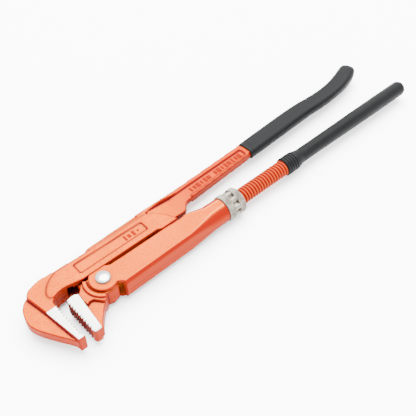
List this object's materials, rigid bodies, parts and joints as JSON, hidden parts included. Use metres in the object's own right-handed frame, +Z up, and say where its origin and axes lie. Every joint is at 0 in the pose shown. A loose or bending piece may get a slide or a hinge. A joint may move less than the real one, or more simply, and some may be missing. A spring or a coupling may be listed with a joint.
{
  "type": "pipe wrench",
  "caption": "Swedish-pattern pipe wrench: a fixed 90 degree hook jaw on a long arm, a rocking jaw on a threaded leg, a sliding sleeve and a knurled adjusting nut.",
  "frame": {"origin": "centre of the bounding box's underside: the part lies flat with its mid-plane level", "axes": "+X from the jaws along the threaded leg to the handles, +Y from the leg towards the arm's back, +Z up, square to the jaws' flat sides"},
  "size_m": [0.434, 0.0912, 0.0262],
  "materials": {
    "orange_paint": "glossy orange powder coat over a forged surface, tooth strips ground bright",
    "thread_paint": "glossy deep orange-red coat on the thread",
    "nickel_plate": "knurled, warm satin nickel plate",
    "zinc_plate": "bright zinc plated dome",
    "bare_steel": "plain machined steel",
    "black_vinyl": "dipped soft vinyl, satin"
  },
  "bodies": {
    "arm": {"fixed_jaw_arm": "orange_paint", "arm_grip": "black_vinyl", "pivot_pin": "bare_steel"},
    "leg": {"threaded_leg": "thread_paint", "leg_grip": "black_vinyl"},
    "sleeve": {"sleeve": "orange_paint", "jaw_rivet": "zinc_plate", "nut_retaining_ring": "bare_steel"},
    "nut": {"adjusting_nut": "nickel_plate"},
    "jaw": {"movable_jaw": "orange_paint"}
  },
  "joints": [
    {"name": "leg_swing", "type": "hinge", "parent": "arm", "child": "leg", "pos_m": [-0.07852, -0.01587, 0.0131], "axis": [0, 0, 1], "range_deg": [-0.5, 2]},
    {"name": "sleeve_slide", "type": "slide", "parent": "leg", "child": "sleeve", "axis": [1, 0, 0], "range_m": [-0.002, 0.05]},
    {"name": "nut_turn", "type": "hinge", "parent": "sleeve", "child": "nut", "pos_m": [-0.02252, -0.01587, 0.0131], "axis": [1, 0, 0], "range_deg": [-240, 5800]},
    {"name": "jaw_rock", "type": "hinge", "parent": "sleeve", "child": "jaw", "pos_m": [-0.15252, -0.01187, 0.0131], "axis": [0, 0, 1], "range_deg": [-9.5, 2.6]}
  ],
  "couplings": [
    {"joint": "nut_turn", "follows": "sleeve_slide", "rad_per_m": 2020.3},
    {"joint": "jaw_rock", "follows": "leg_swing", "ratio": -4.57}
  ]
}
